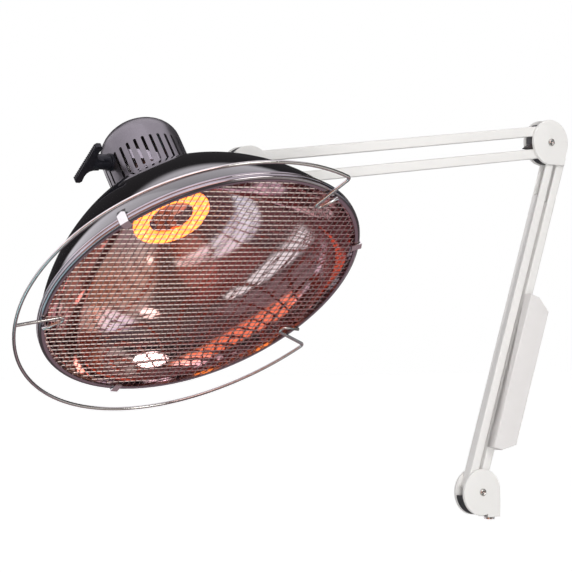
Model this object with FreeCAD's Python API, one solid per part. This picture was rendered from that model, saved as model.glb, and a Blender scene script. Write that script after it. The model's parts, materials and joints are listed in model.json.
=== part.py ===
import FreeCAD, Part
import math
import os
from FreeCAD import Placement, Rotation, Vector

# Infrared heat therapy lamp on a double-bar balanced arm.
# Millimetres. +Z up. Origin: centre of the mounting stud's bottom face.
# The arm works in the XZ plane and reaches towards -X. All hinge pins run along Y.

os.makedirs("parts", exist_ok=True)

# ---------------------------------------------------------------- driving dimensions
BAR = 12.4              # outside width of every square arm tube
WALL = 1.3              # tube wall
PIN_R = 2.5             # link pins
FIT = 0.05              # radial clearance of a running fit
COVER_R = 28.5          # joint cover discs
COVER_IN = 6.6          # inner face of the covers, from the arm's mid-plane
COVER_OUT = 10.4        # outer face of the covers
CORE_HALF = 4.6         # half thickness of the dark cores between fork ends

BASE = (-18.5, 34.3)    # centre of the base joint (x, z)
ELBOW = (94.5, 470.8)   # centre of the elbow joint
HEAD_JOINT = (-353.0, 412.7)

LOWER_STEP = (14.5, -9.0)       # from a front bar pivot to the rear bar pivot
REAR_AT_ELBOW = (21.9, -19.0)   # rear bar pivot, from the elbow centre
UPPER_HALF = 14.2               # half the spacing of the upper arm pivots
UPPER_AT_ELBOW = (-12.0, 0.0)
UPPER_AT_HEAD = (12.0, 3.0)

STUD_R = 5.0
STUD_FOOT_R = 6.7
STUD_FOOT_H = 5.2
MOUNT_THREAD_R = 3.4            # M8 tapping bore

SWIVEL_X = -393.0               # vertical pin of the head
HEAD_REACH = 89.2               # from that pin to the housing axis
HEAD_YAW = 4.14                 # degrees, as built
HEAD_TILT = 37.19               # degrees, light axis from straight down

RIM_R = 178.0                   # outside radius of the rim ring
ROLL_S = 171.3                  # roll axis above the rim plane
DOME_DEPTH = 146.3
DOME_A = 1.38
DOME_B = 1.61
HOUSING_R = 45.6
HOUSING_X = -3.2                # the housing sits a little off the bowl's axis
HOUSING_S0 = 132.0
HOUSING_S1 = 188.5
CROWN = 33.3
SLOTS = 32
SLOT_TURN = 2.3                 # degrees
SLOT_S = (140.6, 176.2)         # bottom and top of a slot
SLOT_WIDTH = 3.3
HEATER_R = 34.0
HEATER_WIDE = 9.2                # half the ring's section across, and half its height
HEATER_HIGH = 3.8
HEATER_S = 96.8
WINDING_R = 2.0
LEG_ANGLES = (52.0, 76.0)        # degrees, the heater's two legs
MESH_PITCH = 7.2
MESH_WIRE = 0.95
MESH_TURN = -3.0
CLIP_ANGLES = (-27.0, 97.0, 214.6)
BUMPER_S = -5.0
BUMPER_WIRE_R = 1.85
BUMPER_BEND = 4.5
BUMPER_ARC = (26.2, 292.2)      # degrees, where the ring starts and ends
BUMPER_LEG = 163.3              # degrees, the middle leg
BUMPER_STOPS = 10
BUMPER_MEAN_R = 207.2           # the ring is bent a little out of round:
BUMPER_LOBES = ((0.12, 1.99), (0.95, 2.63), (1.01, -2.15))
LEG_IN = 153.5                  # innermost reach of a hairpin leg
LEG_BEND = 4.6
LEG_SPREAD = 18.0               # degrees between the two sides of a hairpin
GRIP_S = 165.4                  # underside of the T bar
GRIP_THICK = 5.2


# ---------------------------------------------------------------- helpers
def save(name, shape):
    """Write one node. A list becomes a group of separate solids."""
    if isinstance(shape, (list, tuple)):
        shape = Part.makeCompound(list(shape))
    for solid in shape.Solids:
        if not solid.isValid() or not solid.isClosed():
            raise RuntimeError(name + " is not a valid closed solid")
    if not shape.Solids:
        raise RuntimeError(name + " holds no solid")
    shape.exportStep("parts/" + name + ".step")


def block(x0, x1, y0, y1, z0, z1):
    return Part.makeBox(x1 - x0, y1 - y0, z1 - z0, Vector(x0, y0, z0))


def rod(radius, start, end):
    a = Vector(*start)
    b = Vector(*end)
    return Part.makeCylinder(radius, (b - a).Length, a, b - a)


def tube(r_out, r_in, start, end):
    return rod(r_out, start, end).cut(rod(r_in, start, end))


def cross_rod(radius, x, z, y0, y1):
    """A round bar along Y through (x, z)."""
    return rod(radius, (x, y0, z), (x, y1, z))


def sheet(points, y0, y1):
    """An outline in the XZ plane made solid between two Y values."""
    ring = [Vector(x, y0, z) for x, z in points]
    ring.append(ring[0])
    return Part.Face(Part.makePolygon(ring)).extrude(Vector(0, y1 - y0, 0))


def spun(points):
    """Turn a closed (r, s) outline about the Z axis."""
    ring = [Vector(r, 0, s) for r, s in points]
    ring.append(ring[0])
    face = Part.Face(Part.makePolygon(ring))
    return face.revolve(Vector(0, 0, 0), Vector(0, 0, 1), 360)


def spun_shell(outer, inner):
    """Turn a thin wall: outer and inner are (r, s) lists from the rim to the top."""
    a = Part.BSplineCurve()
    a.interpolate([Vector(r, 0, s) for r, s in outer])
    b = Part.BSplineCurve()
    b.interpolate([Vector(r, 0, s) for r, s in inner])
    first = Part.makeLine(Vector(outer[0][0], 0, outer[0][1]), Vector(inner[0][0], 0, inner[0][1]))
    last = Part.makeLine(Vector(outer[-1][0], 0, outer[-1][1]), Vector(inner[-1][0], 0, inner[-1][1]))
    wire = Part.Wire(Part.__sortEdges__([a.toShape(), last, b.toShape(), first]))
    return Part.Face(wire).revolve(Vector(0, 0, 0), Vector(0, 0, 1), 360)


def fuse(first, *others):
    return first.multiFuse(list(others)).removeSplitter()


def placed(shape, where):
    moved = shape.copy()
    moved.Placement = where.multiply(moved.Placement)
    return moved


def soften(shape, radius, keep):
    """Round the edges that the test picks."""
    edges = [edge for edge in shape.Edges if keep(edge)]
    return shape.makeFillet(radius, edges)


def pan_screw(x, z, y_face, y_tip, head_r, head_h, shank_r):
    """A cross-slotted pan head screw that points along +Y."""
    head = cross_rod(head_r, x, z, y_face - head_h, y_face)
    head = soften(head, head_h * 0.55, lambda e: abs(e.BoundBox.YMax - (y_face - head_h)) < 1e-6
                  and e.BoundBox.XLength > head_r)
    shank = cross_rod(shank_r, x, z, y_face, y_tip)
    screw = fuse(head, shank)
    deep = head_h * 0.6
    for wide, tall in ((head_r * 0.62, head_r * 0.12), (head_r * 0.12, head_r * 0.62)):
        screw = screw.cut(block(x - wide, x + wide, y_face - head_h - 1, y_face - head_h + deep,
                                z - tall, z + tall))
    return screw


# ---------------------------------------------------------------- arm frames
def offset(origin, step):
    return (origin[0] + step[0], origin[1] + step[1])


REAR_0 = BASE
FRONT_0 = offset(BASE, (-LOWER_STEP[0], -LOWER_STEP[1]))
REAR_1 = offset(ELBOW, REAR_AT_ELBOW)
FRONT_1 = offset(REAR_1, (-LOWER_STEP[0], -LOWER_STEP[1]))
TOP_1 = offset(ELBOW, (UPPER_AT_ELBOW[0], UPPER_AT_ELBOW[1] + UPPER_HALF))
BOTTOM_1 = offset(ELBOW, (UPPER_AT_ELBOW[0], UPPER_AT_ELBOW[1] - UPPER_HALF))
TOP_2 = offset(HEAD_JOINT, (UPPER_AT_HEAD[0], UPPER_AT_HEAD[1] + UPPER_HALF))
BOTTOM_2 = offset(HEAD_JOINT, (UPPER_AT_HEAD[0], UPPER_AT_HEAD[1] - UPPER_HALF))


def along(start, end):
    """Placement that lays a bar drawn up +Z from start to end, and its length."""
    dx = end[0] - start[0]
    dz = end[1] - start[1]
    lean = math.degrees(math.atan2(dx, dz))
    where = Placement(Vector(start[0], 0, start[1]), Rotation(Vector(0, 1, 0), lean))
    return where, math.hypot(dx, dz)


def arm_bar(length, cut_start, cut_end, start_bore):
    """Square tube with round ends. A cut above zero makes that end a fork."""
    half = BAR / 2
    inner = half - WALL
    bar = block(-half, half, -half, half, 0, length)
    bar = soften(bar, 1.2, lambda e: e.BoundBox.ZLength > length - 1)
    ends = [cross_rod(half, 0, z, -half, half) for z in (0, length)]
    bar = fuse(bar, *ends)
    solid_0 = 14.0 if cut_start == 0 else cut_start
    solid_1 = 14.0 if cut_end == 0 else cut_end
    bar = bar.cut(block(-inner, inner, -inner, inner, solid_0 - 1, length - solid_1 + 1))
    if cut_start > 0:
        bar = bar.cut(block(-half - 1, half + 1, -inner, inner, -half - 1, cut_start))
    if cut_end > 0:
        bar = bar.cut(block(-half - 1, half + 1, -inner, inner, length - cut_end, length + half + 1))
    bar = bar.cut(cross_rod(start_bore, 0, 0, -half - 1, half + 1))
    return bar.cut(cross_rod(PIN_R + FIT, 0, length, -half - 1, half + 1))


def balance_spring(z0, z1):
    """Close-wound spring in its tube, drawn as a sleeve with hooked ends."""
    sleeve = tube(4.2, 2.9, (0, 0, z0), (0, 0, z1))
    tails = [rod(0.8, (0, 0, z0 - 9), (0, 0, z0 + 2)), rod(0.8, (0, 0, z1 - 2), (0, 0, z1 + 9))]
    discs = [rod(3.1, (0, 0, z0), (0, 0, z0 + 2)), rod(3.1, (0, 0, z1 - 2), (0, 0, z1))]
    return fuse(sleeve, *(tails + discs))


def spring_plug(z):
    """Anchor block that holds one spring tail in the tube."""
    body = block(-4.9, 4.9, -4.9, 4.9, z - 5, z + 5)
    return body.cut(rod(0.8, (0, 0, z - 6), (0, 0, z + 6)))


LOWER_PLACE, LOWER_LENGTH = along(REAR_0, REAR_1)
UPPER_PLACE, UPPER_LENGTH = along(BOTTOM_1, BOTTOM_2)

rear_bar = arm_bar(LOWER_LENGTH, 0, 62, 3.0 + FIT)
front_bar = arm_bar(LOWER_LENGTH, 0, 62, PIN_R + FIT)
save("lower_rear_bar", placed(rear_bar, LOWER_PLACE))
save("lower_front_bar", placed(front_bar, along(FRONT_0, FRONT_1)[0]))
save("lower_balance_spring", placed(balance_spring(95, 245), LOWER_PLACE))
save("lower_spring_plugs", [placed(spring_plug(z), LOWER_PLACE) for z in (84, 256)])

bottom_bar = arm_bar(UPPER_LENGTH, 40, 40, PIN_R + FIT)
save("upper_bottom_bar", placed(bottom_bar, UPPER_PLACE))
save("upper_top_bar", placed(bottom_bar, along(TOP_1, TOP_2)[0]))
save("upper_balance_spring", placed(balance_spring(115, 265), UPPER_PLACE))
save("upper_spring_plugs", [placed(spring_plug(z), UPPER_PLACE) for z in (104, 276)])


# ---------------------------------------------------------------- joints
def rounded_disc(centre, right, bottom, shoulder, toe, y0, y1):
    """Disc plus a corner block: right edge, bottom edge, where they leave the disc."""
    cx, cz = centre
    disc = cross_rod(COVER_R, cx, cz, y0, y1)
    edge_x = math.sqrt(COVER_R ** 2 - shoulder ** 2)
    corner = sheet([(cx, cz), (cx + edge_x, cz + shoulder), (cx + right, cz + bottom),
                    (cx + toe, cz + bottom), (cx + toe, cz - 20)], y0, y1)
    return fuse(disc, corner)


def cover(centre, shape_args, y_in, y_out, holes):
    """One cover plate. holes: (x, z, radius, depth) cut from the inner face."""
    body = rounded_disc(centre, *shape_args, min(y_in, y_out), max(y_in, y_out))
    outer_face = y_out
    body = soften(body, 0.9, lambda e: abs(e.BoundBox.YMin - outer_face) < 1e-6
                  and abs(e.BoundBox.YMax - outer_face) < 1e-6)
    side = 1 if y_out > y_in else -1
    for x, z, radius, depth in holes:
        body = body.cut(cross_rod(radius, x, z, *sorted((y_in - side, y_in + side * depth))))
    return body


THICK = COVER_OUT - COVER_IN
BASE_SHAPE = (28.0, -31.2, -2.0, 9.0)
ELBOW_SHAPE = (22.6, -28.4, -12.0, 0.5)
HEAD_SHAPE = (22.6, -28.4, -12.0, 0.5)


def joint_screw(name, centre, shank_r, head_r):
    front = -COVER_OUT
    screw = pan_screw(centre[0], centre[1], front, COVER_OUT + 3.6, head_r, 2.6, shank_r)
    save(name + "_screw", screw)
    nut_ring = []
    for k in range(6):
        a = math.radians(60 * k + 30)
        nut_ring.append((centre[0] + shank_r * 1.95 * math.cos(a), centre[1] + shank_r * 1.95 * math.sin(a)))
    nut = sheet(nut_ring, COVER_OUT, COVER_OUT + 3.2)
    save(name + "_nut", nut.cut(cross_rod(shank_r, centre[0], centre[1], 0, COVER_OUT + 5)))


# base joint
pin_front = (FRONT_0[0], FRONT_0[1], PIN_R, THICK - 1.0)
bolt_base = (BASE[0], BASE[1], 3.0, THICK + 1)
foot_room = rod(STUD_FOOT_R + 0.4, (0, 0, -1), (0, 0, STUD_FOOT_H + 0.5))
front = cover(BASE, BASE_SHAPE, -COVER_IN, -COVER_OUT, [pin_front, bolt_base])
rear = cover(BASE, BASE_SHAPE, COVER_IN, COVER_OUT, [pin_front, bolt_base])
save("base_front_cover", front.cut(foot_room))
save("base_rear_cover", rear.cut(foot_room))
save("base_link_pin", cross_rod(PIN_R, FRONT_0[0], FRONT_0[1],
                                -COVER_IN - THICK + 1.0, COVER_IN + THICK - 1.0))
joint_screw("base_joint", BASE, 3.0, 4.6)

# The core fills the cheeks below the links and carries the stud bore.
bx, bz = BASE
keep = [(-40, -3.4), (-7.4, -3.4), (-5.6, -7.2), (0, -8.2), (5.0, -6.9), (7.2, -2.6), (25.5, 19.0), (40, 19.0),
        (40, -60), (-40, -60)]
core = cross_rod(COVER_R - 0.7, bx, bz, -COVER_IN, COVER_IN)
core = fuse(core, block(bx + 9, bx + 27.2, -COVER_IN, COVER_IN, bz - 28.6, bz - 8))
core = core.common(sheet([(bx + x, bz + z) for x, z in keep], -COVER_IN, COVER_IN))
core = core.cut(rod(STUD_R + FIT, (0, 0, -1), (0, 0, bz - 8.9)))
core = core.cut(foot_room)
CLIP_Z = 14.0
core = core.cut(cross_rod(1.5, 0, CLIP_Z, 0, COVER_IN + 1))
save("base_core", core)
save("stud_keeper_screw", cross_rod(1.5, 0, CLIP_Z, 4.1, COVER_IN))

stud = fuse(rod(STUD_R, (0, 0, 0), (0, 0, bz - 9.4)), rod(STUD_FOOT_R, (0, 0, 0), (0, 0, STUD_FOOT_H)))
stud = stud.cut(tube(STUD_R + 1, 3.9, (0, 0, CLIP_Z - 1.8), (0, 0, CLIP_Z + 1.8)))
stud = stud.cut(rod(MOUNT_THREAD_R, (0, 0, -1), (0, 0, 11.0)))
spanner = Rotation(Vector(0, 0, 1), -20).multVec(Vector(0, -1, 0))
mid = Vector(0, 0, 2.7)
stud = stud.cut(Part.makeCylinder(1.9, 4.0, mid + spanner * (STUD_FOOT_R - 2.6), spanner))
save("mounting_stud", stud)

# elbow joint
ex, ez = ELBOW
screw_hole = (ex, ez, 2.2, THICK + 1)
save("elbow_front_cover", cover(ELBOW, ELBOW_SHAPE, -COVER_IN, -COVER_OUT, [screw_hole]))
save("elbow_rear_cover", cover(ELBOW, ELBOW_SHAPE, COVER_IN, COVER_OUT, [screw_hole]))
joint_screw("elbow_joint", ELBOW, 2.2, 4.6)
core = cross_rod(COVER_R - 0.7, ex, ez, -CORE_HALF, CORE_HALF)
lobe = cross_rod(6.0, REAR_1[0], REAR_1[1], -CORE_HALF, CORE_HALF)
hook = sheet([(ex - 24, ez - 3.6), (ex - 28.6, ez - 4.2), (ex - 36.5, ez - 8.6), (ex - 36.5, ez - 9.6),
              (ex - 22, ez - 9.6)], -3.0, 3.0)
boss = cross_rod(4.6, ex, ez, -COVER_IN, COVER_IN)
core = fuse(core, lobe, hook, boss).cut(cross_rod(2.2, ex, ez, -9, 9))
core = core.cut(sheet([(ex - 30, ez + 8), (ex - 19, ez + 8), (ex - 19, ez + 21.5), (ex - 2, ez + 23.5), (ex - 2, ez + 40),
                       (ex - 30, ez + 40)], -9, 9))
elbow_pivots = (FRONT_1, REAR_1, TOP_1, BOTTOM_1)
for x, z in elbow_pivots:
    core = core.cut(cross_rod(PIN_R, x, z, -9, 9))
save("elbow_core", core)
save("elbow_link_pins", [cross_rod(PIN_R, x, z, -BAR / 2, BAR / 2) for x, z in elbow_pivots])

# head joint
hx, hz = HEAD_JOINT
screw_hole = (hx, hz, 2.2, THICK + 1)
save("head_joint_front_cover", cover(HEAD_JOINT, HEAD_SHAPE, -COVER_IN, -COVER_OUT, [screw_hole]))
save("head_joint_rear_cover", cover(HEAD_JOINT, HEAD_SHAPE, COVER_IN, COVER_OUT, [screw_hole]))
joint_screw("head_joint", HEAD_JOINT, 2.2, 4.6)
core = cross_rod(COVER_R - 0.7, hx, hz, -CORE_HALF, CORE_HALF)
neck = block(SWIVEL_X, hx - 20, -CORE_HALF, CORE_HALF, hz - 8.5, hz + 8.5)
eye = rod(8.0, (SWIVEL_X, 0, hz - 8.5), (SWIVEL_X, 0, hz + 8.5))
boss = cross_rod(3.9, hx - 6, hz, -CORE_HALF, CORE_HALF)
core = fuse(core, neck, eye, boss).cut(cross_rod(2.2, hx, hz, -9, 9))
core = core.cut(rod(PIN_R + FIT, (SWIVEL_X, 0, hz - 12), (SWIVEL_X, 0, hz + 12)))
head_pivots = (TOP_2, BOTTOM_2)
for x, z in head_pivots:
    core = core.cut(cross_rod(PIN_R, x, z, -9, 9))
save("head_joint_core", core)
save("head_link_pins", [cross_rod(PIN_R, x, z, -BAR / 2, BAR / 2) for x, z in head_pivots])

# ---------------------------------------------------------------- control box on the rear bar
BOX_Z0 = 55.9
BOX_Z1 = 254.1
BOX_X0 = -6.8
BOX_X1 = 26.9
BOX_HALF = 20.0
BOX_WALL = 2.0
LID = 2.4
SWITCH_Z = 175.0


def box_outline(inset):
    c = inset * 0.55
    return [(BOX_X0 + inset, BOX_Z0 + inset), (7 - c, BOX_Z0 + inset), (BOX_X1 - inset, BOX_Z0 + 12.6 + c),
            (BOX_X1 - inset, BOX_Z1 - 12.6 - c), (7 - c, BOX_Z1 - inset), (BOX_X0 + inset, BOX_Z1 - inset)]


def box_piece(shape):
    return placed(shape, LOWER_PLACE)


LID_Y = BOX_HALF - LID
shell = sheet(box_outline(0), -BOX_HALF, LID_Y)
shell = soften(shell, 1.5, lambda e: abs(e.BoundBox.YMin + BOX_HALF) < 1e-6 and e.BoundBox.YLength < 1e-6)
cavity = sheet(box_outline(BOX_WALL), -BOX_HALF + BOX_WALL, LID_Y + 1)
guide = block(-10, 8.4, -8.4, 8.4, BOX_Z0 - 1, BOX_Z1 + 1)
shell = shell.cut(cavity.cut(guide))
shell = shell.cut(block(-10, BAR / 2, -BAR / 2, BAR / 2, BOX_Z0 - 1, BOX_Z1 + 1))
shell = shell.cut(block(20, 40, -7.1, 7.1, SWITCH_Z - 10.6, SWITCH_Z + 10.6))
LID_SCREWS = [(11.4, 63.5), (11.4, 246.5), (22.4, 76.0), (22.4, 234.0)]
posts = [cross_rod(2.6, x, z, -BOX_HALF + 1, LID_Y) for x, z in LID_SCREWS]
shell = fuse(shell, *[post.common(sheet(box_outline(0.2), -BOX_HALF + 1, LID_Y)) for post in posts])
for x, z in LID_SCREWS:
    shell = shell.cut(cross_rod(1.2, x, z, 8.0, LID_Y + 1))
save("control_box_shell", box_piece(shell))

GLAND = (12.0, 84.0)
lid = sheet(box_outline(0), LID_Y, BOX_HALF)
lid = soften(lid, 1.0, lambda e: abs(e.BoundBox.YMax - BOX_HALF) < 1e-6 and e.BoundBox.YLength < 1e-6)
lid = lid.cut(cross_rod(4.5, GLAND[0], GLAND[1], LID_Y - 1, BOX_HALF + 1))
for x, z in LID_SCREWS:
    lid = lid.cut(cross_rod(1.2, x, z, LID_Y - 1, BOX_HALF + 1))
save("control_box_lid", box_piece(lid))
screws = []
for x, z in LID_SCREWS:
    screw = fuse(cross_rod(1.2, x, z, 8.5, BOX_HALF), cross_rod(2.3, x, z, BOX_HALF, BOX_HALF + 1.4))
    screws.append(box_piece(screw.cut(block(x - 1.6, x + 1.6, BOX_HALF + 0.7, BOX_HALF + 2, z - 0.3, z + 0.3))))
save("control_box_lid_screws", screws)

gland = fuse(cross_rod(4.5, GLAND[0], GLAND[1], LID_Y - 3, BOX_HALF + 0.5),
             cross_rod(7.0, GLAND[0], GLAND[1], BOX_HALF, BOX_HALF + 5),
             cross_rod(5.4, GLAND[0], GLAND[1], BOX_HALF + 5, BOX_HALF + 9))
save("cable_gland", box_piece(gland.cut(cross_rod(3.0, GLAND[0], GLAND[1], 0, BOX_HALF + 20))))

board = fuse(block(10.4, 12.0, -14, 14, 98, 150), block(12.0, 19.0, -9, 1, 104, 122),
             block(12.0, 20.0, -8, 8, 130, 142))
save("control_board", box_piece(board))
terminals = fuse(block(10.4, 20.0, -9, 9, 204, 222), block(20.0, 22.0, -7, 7, 206, 220))
save("wire_terminals", box_piece(terminals))

# Rocker switch in the right-hand side of the box.
PIVOT_X = 24.4
flange = block(BOX_X1, BOX_X1 + 1.5, -8.2, 8.2, SWITCH_Z - 12, SWITCH_Z + 12)
frame = fuse(flange, block(12.5, BOX_X1 + 0.5, -7.0, 7.0, SWITCH_Z - 10.5, SWITCH_Z + 10.5))
frame = frame.cut(block(14.5, BOX_X1 + 3, -5.4, 5.4, SWITCH_Z - 9.2, SWITCH_Z + 9.2))
frame = frame.cut(cross_rod(1.0 + FIT, PIVOT_X, SWITCH_Z, -6.3, 6.3))
save("switch_frame", box_piece(frame))
profile = [(PIVOT_X - 2.2, -5.5), (PIVOT_X - 2.2, 5.5), (PIVOT_X + 1.0, 8.0), (PIVOT_X + 5.6, 8.0),
           (PIVOT_X + 4.0, 0.0), (PIVOT_X + 5.6, -8.0), (PIVOT_X + 1.0, -8.0)]
rocker = sheet([(x, SWITCH_Z + z) for x, z in profile], -5.05, 5.05)
rocker = fuse(rocker, cross_rod(1.0, PIVOT_X, SWITCH_Z, -6.1, 6.1))
rocker = rocker.copy()
rocker.rotate(Vector(PIVOT_X, 0, SWITCH_Z), Vector(0, 1, 0), 8)
save("switch_rocker", box_piece(rocker))

# ---------------------------------------------------------------- head swivel
SPINDLE_END = -HEAD_REACH + HOUSING_X + 28.6
YAW = Placement(Vector(SWIVEL_X, 0, hz), Rotation(Vector(0, 0, 1), HEAD_YAW))
ears = [block(-15, 0, -8, 8, z0, z1) for z0, z1 in ((8.9, 13.2), (-13.2, -8.9))]
rounds = [rod(8.0, (0, 0, z0), (0, 0, z1)) for z0, z1 in ((8.9, 13.2), (-13.2, -8.9))]
web = block(-15, -9, -8, 8, -13.2, 13.2)
collar = rod(9.5, (-26, 0, 0), (-14, 0, 0))
spindle = rod(7.0, (SPINDLE_END, 0, 0), (-20, 0, 0))
swivel = fuse(web, collar, spindle, *(ears + rounds))
swivel = swivel.cut(rod(PIN_R, (0, 0, -20), (0, 0, 20)))
swivel = swivel.cut(rod(3.0, (SPINDLE_END - 5, 0, 0), (-22, 0, 0)))
save("head_swivel_fork", placed(swivel, YAW))
pin = fuse(rod(PIN_R, (0, 0, -13.2), (0, 0, 13.2)), rod(4.2, (0, 0, 13.2), (0, 0, 15.2)),
           rod(3.6, (0, 0, -14.6), (0, 0, -13.2)))
save("head_swivel_pin", placed(pin, YAW))
ring = tube(9.4, 3.0, (SPINDLE_END - 2.0, 0, 0), (SPINDLE_END, 0, 0))
save("spindle_end_washer", placed(ring, YAW))
nipple = tube(3.0, 2.0, (SPINDLE_END - 4.0, 0, 0), (SPINDLE_END + 18, 0, 0))
save("spindle_wire_nipple", placed(nipple, YAW))

# ---------------------------------------------------------------- lamp head
# Drawn about +Z with the rim plane at zero, then swung onto the roll axis.
HEAD = YAW.multiply(Placement(Vector(-HEAD_REACH, 0, 0), Rotation(Vector(1, 0, 0), -HEAD_TILT)))
HEAD = HEAD.multiply(Placement(Vector(0, 0, -ROLL_S), Rotation()))


def head_piece(name, shape):
    if isinstance(shape, (list, tuple)):
        save(name, [placed(item, HEAD) for item in shape])
    else:
        save(name, placed(shape, HEAD))


def bowl_radius(rim, depth, s):
    t = min(max(s / depth, 0.0), 1.0)
    return rim * (1.0 - t ** DOME_A) ** (1.0 / DOME_B)


def bowl_wall(rim, depth, s0, s1, thick, steps=26):
    """Outer and inner (r, s) lists of a bowl of even thickness."""
    outer = []
    inner = []
    for i in range(steps + 1):
        s = s0 + (s1 - s0) * i / steps
        r = bowl_radius(rim, depth, s)
        slope = (bowl_radius(rim, depth, s + 0.2) - bowl_radius(rim, depth, max(s - 0.2, 0.01))) / 0.4
        norm = math.hypot(1.0, slope)
        outer.append((r, s))
        inner.append((r - thick / norm, s + thick * slope / norm))
    return outer, inner


rim = spun([(171.4, -2.6), (175.6, -2.6), (177.2, -1.9), (178.0, -0.4), (178.0, 4.9), (177.4, 5.8),
            (176.6, 5.8), (176.6, -0.8), (171.4, -0.8)])
head_piece("rim_ring", rim)

dome_out, dome_in = bowl_wall(RIM_R - 2.6, DOME_DEPTH, 6.4, 131.0, 1.2)
dome = spun_shell(dome_out, dome_in)
r_edge = dome_out[0][0]
lip = spun([(r_edge - 2.2, 4.4), (176.4, 4.4), (176.4, 5.6), (r_edge + 0.1, 6.9), (r_edge - 1.3, 6.9),
            (r_edge - 2.2, 5.6)])
r_top = dome_in[-1][0]
seat = spun([(37.5, 130.4), (r_top + 1.6, 130.4), (r_top + 0.6, 131.7), (37.5, 131.7)])
head_piece("dome_shell", fuse(dome, lip, seat))

REFLECTOR_DEPTH = 134.0
bowl_out, bowl_in = bowl_wall(170.6, REFLECTOR_DEPTH, 3.2, 122.0, 0.8)
bowl = spun_shell(bowl_out, bowl_in)
r_edge = bowl_out[0][0]
lip = spun([(r_edge - 1.4, 2.6), (176.4, 2.6), (176.4, 3.4), (r_edge - 0.1, 3.6), (r_edge - 1.2, 3.6)])
r_top = bowl_in[-1][0]
seat = spun([(37.0, 121.4), (r_top + 1.2, 121.4), (r_top + 0.4, 122.2), (37.0, 122.2)])
head_piece("reflector", fuse(bowl, lip, seat))

# guard
head_piece("guard_ring", spun([(171.8, -0.6), (176.4, -0.6), (176.4, 2.3), (171.8, 2.3)]))
wires = []
reach = 171.4
count = int(reach // MESH_PITCH)
for layer, base_angle in ((0.35, MESH_TURN), (1.3, MESH_TURN + 90)):
    for k in range(-count, count + 1):
        d = k * MESH_PITCH
        half = math.sqrt(reach * reach - (abs(d) + MESH_WIRE / 2) ** 2)
        wire = rod(MESH_WIRE / 2, (-half, d, layer), (half, d, layer))
        wire.rotate(Vector(0, 0, 0), Vector(0, 0, 1), base_angle)
        wires.append(wire)
head_piece("guard_mesh", wires)

hook = spun([(168.0, -4.0), (179.4, -4.0), (179.4, 6.6), (174.4, 14.2), (172.9, 14.2), (178.1, 6.2),
             (178.1, -2.6), (168.0, -2.6)])
clips = []
for angle in CLIP_ANGLES:
    clip = hook.common(block(150, 190, -4.6, 4.6, -10, 20))
    clip.rotate(Vector(0, 0, 0), Vector(0, 0, 1), angle)
    clips.append(clip)
head_piece("rim_clips", clips)


def bumper_radius(angle):
    a = math.radians(angle)
    radius = BUMPER_MEAN_R
    for k, (even, odd) in enumerate(BUMPER_LOBES, 1):
        radius += even * math.cos(k * a) + odd * math.sin(k * a)
    return radius


def heading(angle):
    a = math.radians(angle)
    return Vector(math.cos(a), math.sin(a), 0)


def arc_from(start, way, end):
    """Arc that leaves start along way and ends at end, or a line."""
    chord = end - start
    left = Vector(-chord.y, chord.x, 0)
    lean = math.atan2(chord.x * way.y - chord.y * way.x, chord.dot(way))
    if abs(lean) < 1e-5:
        return Part.makeLine(start, end)
    middle = start + chord * 0.5 + left * (0.5 * math.tan(lean / 2))
    return Part.Arc(start, middle, end).toShape()


def bend_between(start, way, end, end_way):
    """Two arcs that join start to end and keep both headings."""
    chord = end - start
    reach = chord.dot(way + end_way)
    spread = 2.0 * (1.0 - way.dot(end_way))
    if spread < 1e-9:
        step = chord.dot(chord) / (2.0 * reach)
    else:
        step = (math.sqrt(reach * reach + spread * chord.dot(chord)) - reach) / spread
    middle = (start + end + (way - end_way) * step) * 0.5
    middle_way = (middle - start) - way * step
    return [arc_from(start, way, middle), arc_from(middle, middle_way, end)]


def hairpin(angle, side, outer_r):
    """Stops of a leg: in over the rim, round a hairpin and back out to the rim."""
    inward = heading(angle + 180)
    back = heading(angle + side * LEG_SPREAD)
    across = heading(angle + side * 90)
    centre = heading(angle) * (LEG_IN + LEG_BEND) + across * LEG_BEND
    turned = centre + heading(angle + side * (90 + LEG_SPREAD)) * LEG_BEND
    return [(heading(angle) * outer_r, inward), (heading(angle) * (LEG_IN + LEG_BEND), inward),
            (turned, back), (turned + back * 18.5, back)]


def bent_wire(stops, radius):
    """Round wire through stops, each a point and a heading."""
    edges = []
    for (start, way), (end, end_way) in zip(stops, stops[1:]):
        edges += bend_between(start, way, end, end_way)
    profile = Part.Wire(Part.makeCircle(radius, stops[0][0], stops[0][1]))
    wire = Part.Wire(edges).makePipeShell([profile], True, False)
    return wire.translated(Vector(0, 0, BUMPER_S))


# bumper: an open wire ring with a hairpin leg at each end and one in the middle
first, last = BUMPER_ARC
trim = math.degrees(BUMPER_BEND / BUMPER_MEAN_R)
start_leg = [(spot, way * -1) for spot, way in reversed(hairpin(first, -1, bumper_radius(first) - BUMPER_BEND))]
ring_stops = []
for k in range(BUMPER_STOPS + 1):
    angle = first + trim + (last - first - 2 * trim) * k / BUMPER_STOPS
    spot = heading(angle) * bumper_radius(angle)
    ahead = heading(angle + 0.1) * bumper_radius(angle + 0.1) - heading(angle - 0.1) * bumper_radius(angle - 0.1)
    ring_stops.append((spot, ahead.normalize()))
end_leg = hairpin(last, 1, bumper_radius(last) - BUMPER_BEND)
ring = bent_wire(start_leg + ring_stops + end_leg, BUMPER_WIRE_R)
middle_leg = bent_wire(hairpin(BUMPER_LEG, -1, bumper_radius(BUMPER_LEG)), BUMPER_WIRE_R - 0.1)
head_piece("bumper_wire", fuse(ring, middle_leg))

# heater: a ring of flattened tube, its winding and its two legs
def flat_ring(wide, high):
    """Ring with an oval section, wide across and high along the axis."""
    oval = Part.Ellipse(Vector(HEATER_R + wide, 0, HEATER_S), Vector(HEATER_R, 0, HEATER_S + high),
                        Vector(HEATER_R, 0, HEATER_S))
    face = Part.Face(Part.Wire(oval.toShape()))
    return face.revolve(Vector(0, 0, 0), Vector(0, 0, 1), 360)


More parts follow.
